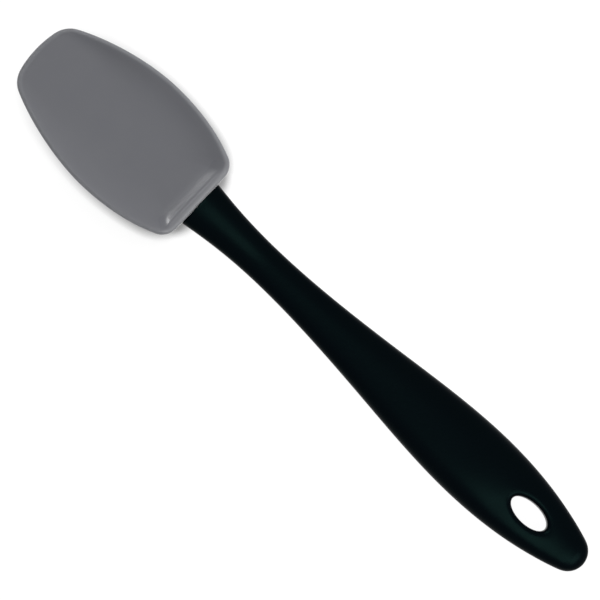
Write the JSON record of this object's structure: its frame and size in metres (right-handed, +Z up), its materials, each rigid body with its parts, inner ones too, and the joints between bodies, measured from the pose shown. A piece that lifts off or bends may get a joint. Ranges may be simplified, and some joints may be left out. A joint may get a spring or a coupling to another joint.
{
  "type": "silicone spoon",
  "caption": "Cooking spoon with a shallow grey silicone scoop that pushes onto a black moulded handle with a flared grip and an oval hanging hole.",
  "frame": {"origin": "middle of the spoon's length, on the table under its centre line", "axes": "+X from the tail of the handle to the tip of the head, +Z up out of the bowl, +Y to the left of the tip"},
  "size_m": [0.2737, 0.05, 0.0138],
  "materials": {
    "black_plastic": "satin moulded",
    "filled_nylon": "matt moulded",
    "grey_silicone": "smooth matt moulded"
  },
  "bodies": {
    "handle": {"handle": "black_plastic", "tang_core": "filled_nylon"},
    "head": {"silicone_head": "grey_silicone"}
  },
  "joints": [
    {"name": "head_pull", "type": "slide", "parent": "handle", "child": "head", "axis": [1, 0, 0], "range_m": [0, 0.05]}
  ]
}
